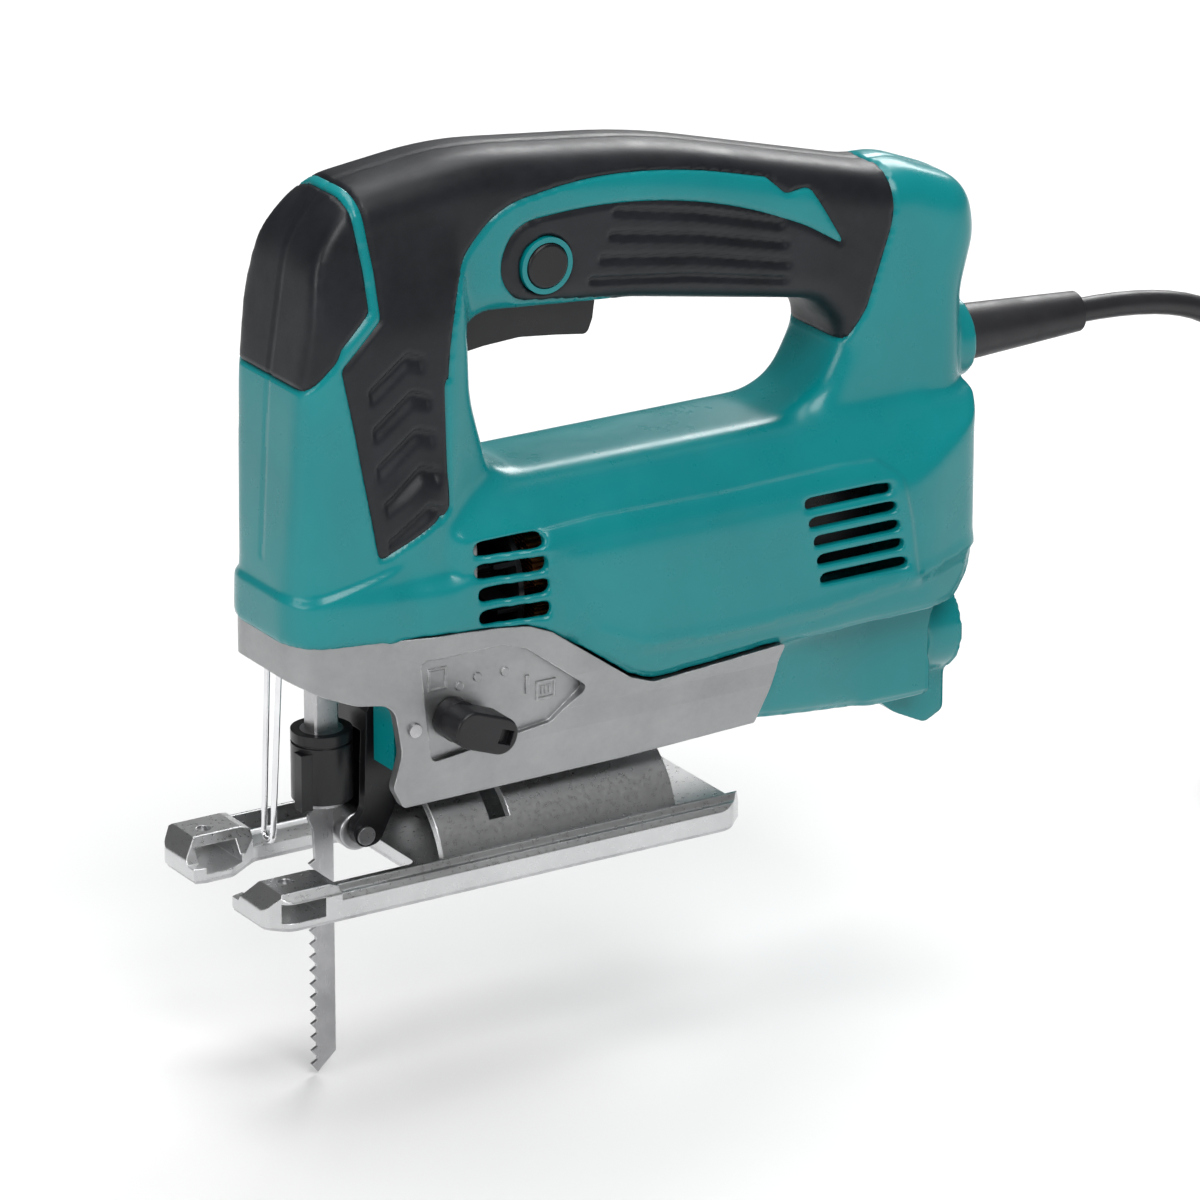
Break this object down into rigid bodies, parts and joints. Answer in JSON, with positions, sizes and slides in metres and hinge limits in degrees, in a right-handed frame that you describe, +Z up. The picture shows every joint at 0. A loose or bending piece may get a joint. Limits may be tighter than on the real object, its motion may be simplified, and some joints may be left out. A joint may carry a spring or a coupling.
{
  "type": "corded jigsaw",
  "caption": "Corded top-handle jigsaw with a closed handle loop, trigger and lock button, orbital lever, clamped saw blade and a tilting shoe with guide slots.",
  "frame": {"origin": "where the blade's axis crosses the sole of the shoe, on the shoe's tilt axis", "axes": "+X to the rear (cord end), -Y to the tool's left side (orbital lever, lock button), +Z up along the plunger; the blade cuts towards -X"},
  "size_m": [0.4903, 0.104, 0.2756],
  "materials": {
    "teal": "satin",
    "grip": "matt",
    "cast": "blasted",
    "steel": "ground",
    "chrome": "polished",
    "black": "matt",
    "rubber": "matt",
    "cord": "satin",
    "laminated": "stacked sheet",
    "copper": "enamelled",
    "brass": "plain",
    "carbon": "graphite"
  },
  "bodies": {
    "housing": {"housing_left": "teal", "housing_right": "teal", "grip_left": "grip", "grip_right": "grip", "nose_pad": "grip", "housing_screws": "steel", "button_ring": "teal", "gear_housing": "cast", "gear_housing_screws": "steel", "air_duct": "teal", "plunger_seal": "rubber", "fork_pin": "steel", "gear_pin": "steel", "guide_pin": "steel", "trigger_pin": "steel", "wire_guard": "chrome", "field_stator": "laminated", "field_coils": "copper", "front_bearing": "steel", "rear_bearing": "steel", "brush_holders": "brass", "carbon_brushes": "carbon", "switch_body": "black", "control_module": "black", "cord_clamp": "black", "cord_guard": "rubber", "tilt_bolt": "steel", "tilt_clamp": "steel", "cord": "cord", "cord_coil": "cord", "cord_tie": "black", "plug_body": "black", "plug_pins": "steel", "plug_boot": "rubber"},
    "armature": {"armature_shaft": "steel", "armature_core": "laminated", "armature_windings": "copper", "commutator": "copper", "fan": "black"},
    "gear": {"drive_gear": "steel", "crank_pin": "steel", "balance_weight": "cast"},
    "guide": {"guide_plate": "cast", "guide_bushings": "brass"},
    "plunger": {"plunger_rod": "steel", "yoke": "steel", "blade_holder": "steel", "blade": "steel"},
    "clamp": {"clamp_sleeve": "black"},
    "fork": {"orbit_fork": "black", "roller_pin": "steel"},
    "roller": {"roller": "steel"},
    "lever": {"orbit_lever": "black", "lever_cam": "steel"},
    "trigger": {"trigger": "black"},
    "lock_button": {"lock_button": "black"},
    "shoe": {"shoe": "cast", "sole_plate": "steel"}
  },
  "joints": [
    {"name": "armature_spin", "type": "hinge", "parent": "housing", "child": "armature", "pos_m": [0.08, 0, 0.082], "axis": [1, 0, 0], "continuous": true},
    {"name": "gear_spin", "type": "hinge", "parent": "housing", "child": "gear", "pos_m": [0.0245, 0, 0.10545], "axis": [1, 0, 0], "continuous": true},
    {"name": "guide_swing", "type": "hinge", "parent": "housing", "child": "guide", "pos_m": [-0.00875, 0, 0.146], "axis": [0, 1, 0], "range_deg": [0, 1], "stiffness_Nm_per_rad": 2, "springref_deg": -1.72},
    {"name": "plunger_stroke", "type": "slide", "parent": "guide", "child": "plunger", "axis": [0, 0, 1], "range_m": [-0.004, 0.019]},
    {"name": "clamp_twist", "type": "hinge", "parent": "plunger", "child": "clamp", "pos_m": [0, 0, 0.034], "axis": [0, 0, 1], "range_deg": [0, 60], "stiffness_Nm_per_rad": 0.03, "springref_deg": -11.46},
    {"name": "fork_swing", "type": "hinge", "parent": "housing", "child": "fork", "pos_m": [0.015, 0, 0.05], "axis": [0, 1, 0], "range_deg": [0, 3.6]},
    {"name": "roller_spin", "type": "hinge", "parent": "fork", "child": "roller", "pos_m": [0.0095, 0, 0.0123], "axis": [0, 1, 0], "continuous": true},
    {"name": "lever_turn", "type": "hinge", "parent": "housing", "child": "lever", "pos_m": [0.0276, -0.025, 0.0513], "axis": [0, -1, 0], "range_deg": [0, 99]},
    {"name": "trigger_press", "type": "hinge", "parent": "housing", "child": "trigger", "pos_m": [0.045, 0, 0.169], "axis": [0, -1, 0], "range_deg": [0, 5], "stiffness_Nm_per_rad": 0.5, "springref_deg": -5.73},
    {"name": "lock_push", "type": "slide", "parent": "housing", "child": "lock_button", "axis": [0, 1, 0], "range_m": [0, 0.003], "stiffness_N_per_m": 250, "springref_m": -0.003},
    {"name": "shoe_tilt", "type": "hinge", "parent": "housing", "child": "shoe", "pos_m": [0.06, 0, 0], "axis": [1, 0, 0], "range_deg": [-45, 45]}
  ],
  "couplings": [
    {"joint": "gear_spin", "follows": "armature_spin", "ratio": -0.15517},
    {"joint": "fork_swing", "follows": "guide_swing", "ratio": 3.5}
  ]
}
